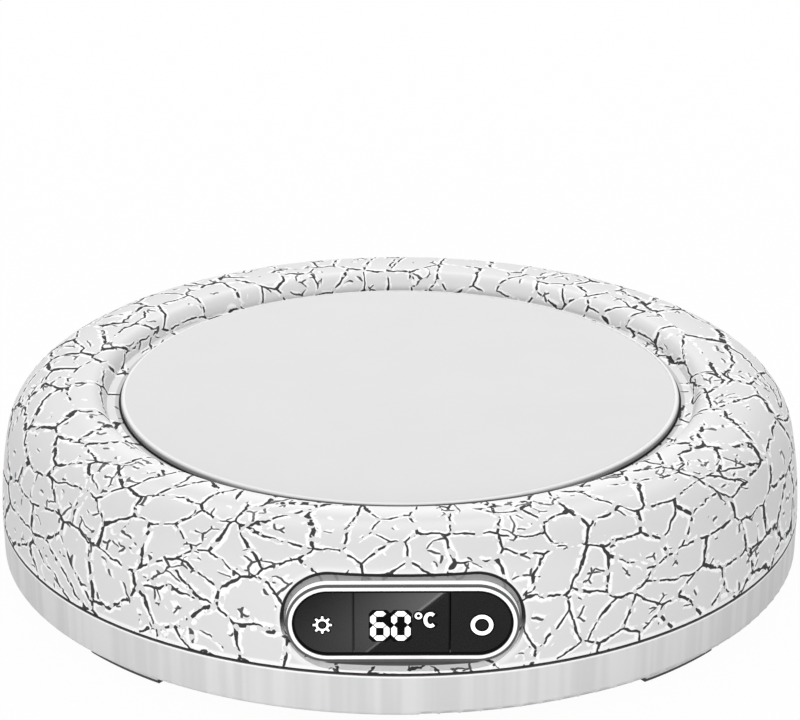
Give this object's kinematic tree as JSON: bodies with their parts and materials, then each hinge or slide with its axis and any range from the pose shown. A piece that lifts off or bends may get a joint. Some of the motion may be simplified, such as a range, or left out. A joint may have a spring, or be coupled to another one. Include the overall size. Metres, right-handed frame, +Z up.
{
  "type": "warming plate",
  "caption": "Round electric warming plate with a domed crackle-finish cover, a flat heated disc in a shallow dish and a pill-shaped front panel with sprung keys and a digit display.",
  "frame": {"origin": "on the resting surface, under the middle of the round body", "axes": "+Z up, -Y out of the control panel, +X to the right as the panel is read"},
  "size_m": [0.13, 0.13, 0.0292],
  "materials": {
    "crackle_cover": "satin white with a dark crackle",
    "base_band": "satin light grey",
    "plate_glaze": "satin white glaze",
    "dark_rubber": "matt dark rubber",
    "foot_rubber": "matt light grey rubber with a dark sole",
    "heater_film": "amber film",
    "insulation_felt": "pressed fibre",
    "zinc_steel": "zinc plated",
    "sensor_resin": "cast resin",
    "lead_sleeve": "silicone sleeve",
    "bezel_gloss": "gloss white",
    "panel_gloss": "gloss black",
    "switch_plastic": "moulded",
    "circuit_board": "solder mask",
    "chip_resin": "moulded resin",
    "can_sleeve": "shrink sleeve",
    "fuse_glass": "clear tube",
    "choke_copper": "enamelled copper",
    "terminal_green": "moulded"
  },
  "bodies": {
    "housing": {"top_cover": "crackle_cover", "base_shell": "base_band", "heating_plate": "plate_glaze", "plate_gasket": "dark_rubber", "heater_mat": "heater_film", "insulation_pad": "insulation_felt", "clamp_plate": "zinc_steel", "clamp_screws": "zinc_steel", "thermistor": "sensor_resin", "thermal_fuse": "zinc_steel", "heater_leads": "lead_sleeve", "sensor_leads": "lead_sleeve", "panel_bezel": "bezel_gloss", "display_window": "panel_gloss", "setting_switch": "switch_plastic", "power_switch": "switch_plastic", "digit_display": "switch_plastic", "display_board": "circuit_board", "display_board_screws": "zinc_steel", "controller_chip": "chip_resin", "display_cable": "lead_sleeve", "power_board": "circuit_board", "power_board_screws": "zinc_steel", "film_capacitor": "sensor_resin", "smoothing_capacitors": "can_sleeve", "triac": "chip_resin", "mains_fuse": "fuse_glass", "choke": "choke_copper", "terminal_block": "terminal_green", "cord_gland": "dark_rubber", "case_screws": "zinc_steel", "front_left_foot": "foot_rubber", "front_right_foot": "foot_rubber", "rear_left_foot": "foot_rubber", "rear_right_foot": "foot_rubber"},
    "setting_key": {"setting_key_cap": "panel_gloss", "setting_switch_plunger": "switch_plastic"},
    "power_key": {"power_key_cap": "panel_gloss", "power_switch_plunger": "switch_plastic"}
  },
  "joints": [
    {"name": "setting_key_press", "type": "slide", "parent": "housing", "child": "setting_key", "axis": [0, 1, 0], "range_m": [0, 0.0004], "stiffness_N_per_m": 600, "springref_m": -0.001},
    {"name": "power_key_press", "type": "slide", "parent": "housing", "child": "power_key", "axis": [0, 1, 0], "range_m": [0, 0.0004], "stiffness_N_per_m": 600, "springref_m": -0.001}
  ]
}
